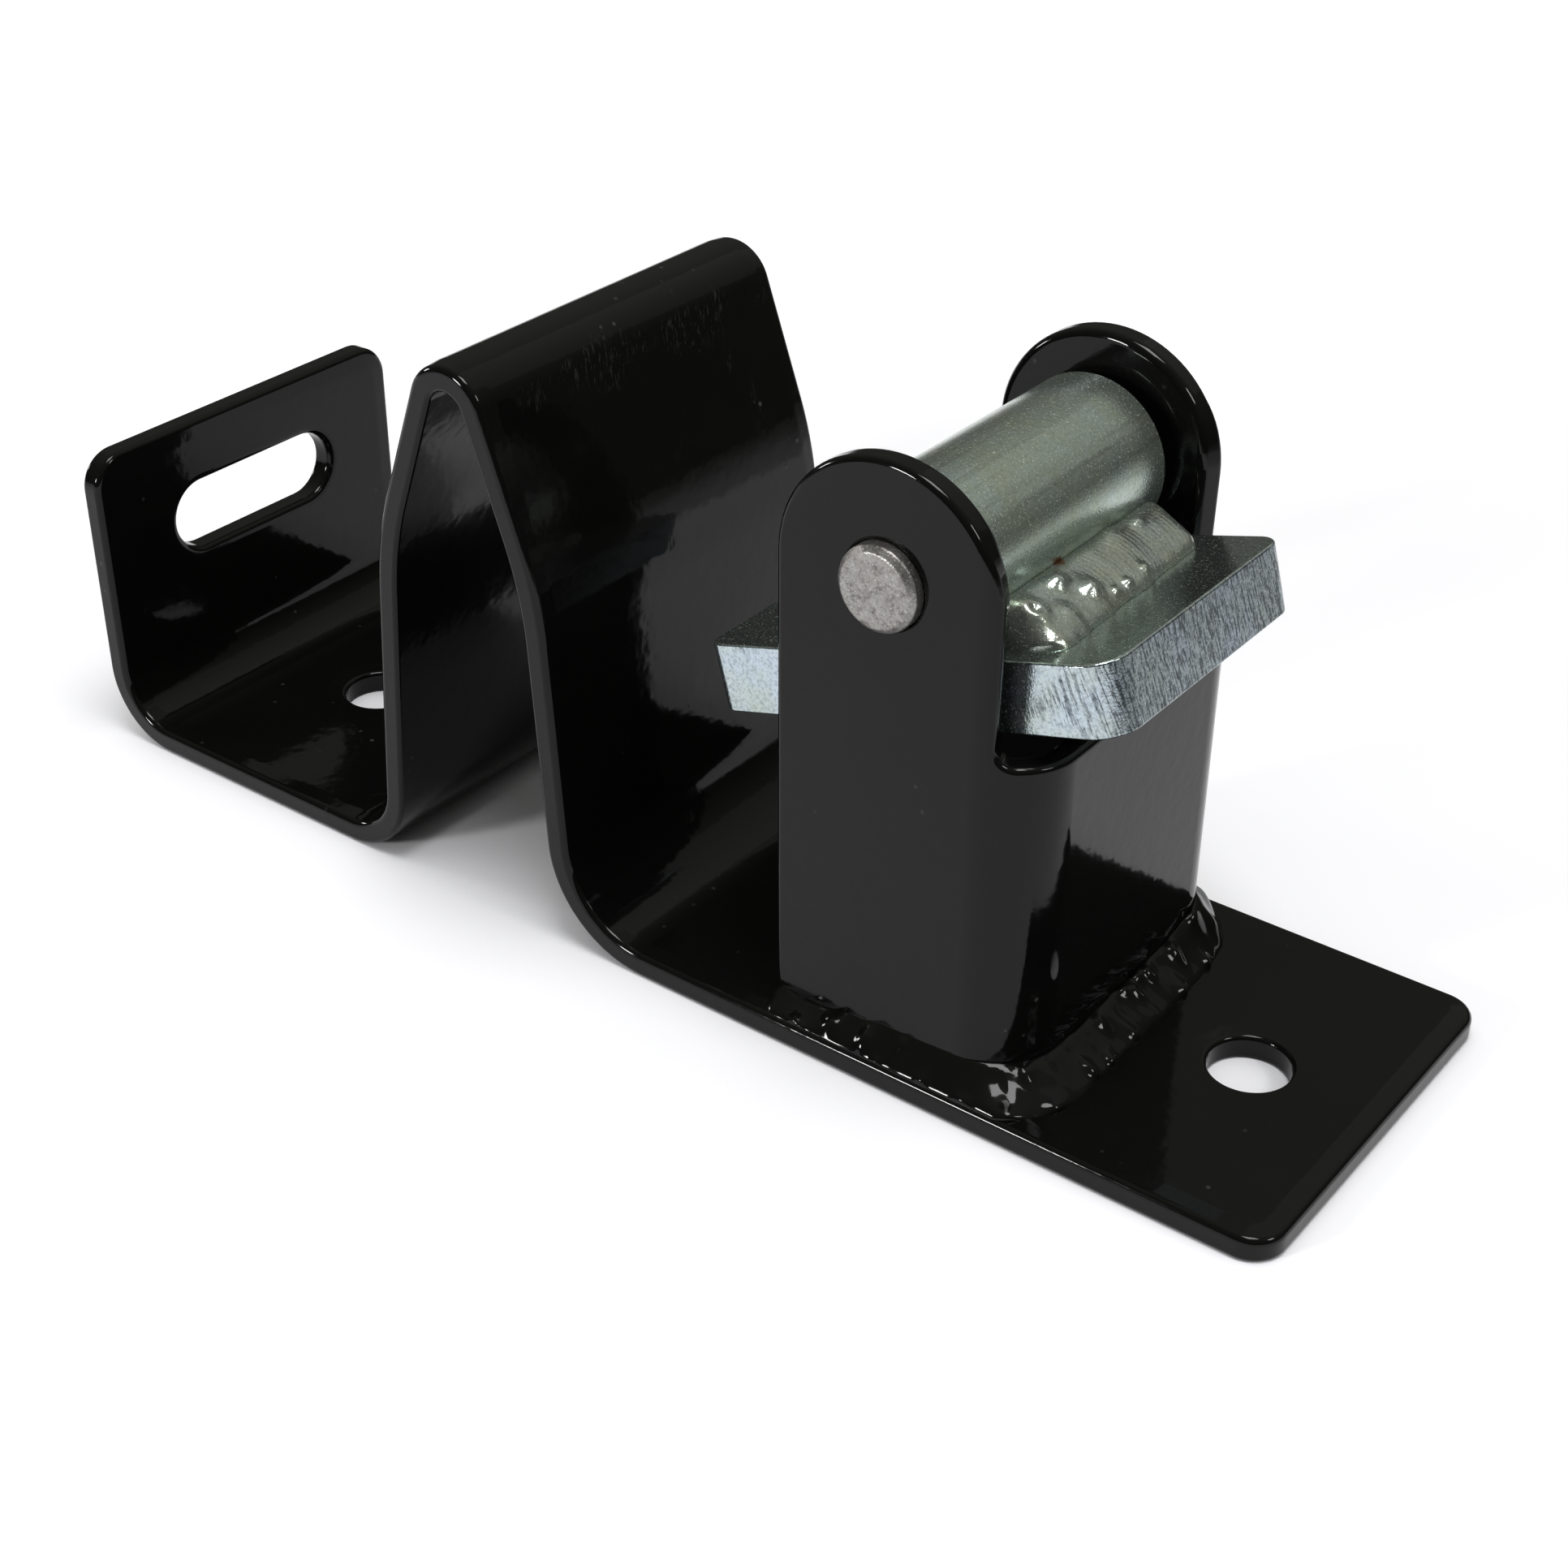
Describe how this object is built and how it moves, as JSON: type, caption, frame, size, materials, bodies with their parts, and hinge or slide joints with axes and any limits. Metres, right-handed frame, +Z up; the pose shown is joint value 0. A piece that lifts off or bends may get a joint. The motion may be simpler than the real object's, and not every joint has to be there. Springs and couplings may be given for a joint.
{
  "type": "gate latch",
  "caption": "Folded steel gate latch: slotted flange, saddle, tall hump and bolt flat, with a free-hanging pawl on a pivot pin in a welded clevis.",
  "frame": {"origin": "middle of the strap's length and width, on its underside", "axes": "+X toward the bolt end, +Y toward the back, +Z up"},
  "size_m": [0.26, 0.0762, 0.1094],
  "materials": {
    "coat": "gloss black powder coat over folded and welded steel",
    "zinc": "zinc plate over sawn and welded steel",
    "pin_zinc": "zinc plate, dull on the cut ends"
  },
  "bodies": {
    "frame": {"strap": "coat", "clevis": "coat", "clevis_weld_front": "coat", "clevis_weld_web": "coat", "clevis_weld_rear": "coat"},
    "pawl": {"pin": "pin_zinc", "barrel": "zinc", "pawl": "zinc", "pawl_weld_tail": "zinc", "pawl_weld_tongue": "zinc"}
  },
  "joints": [
    {"name": "pawl_pivot", "type": "hinge", "parent": "frame", "child": "pawl", "pos_m": [0.053, 0, 0.0896], "axis": [0, -1, 0], "range_deg": [-8, 54]}
  ]
}
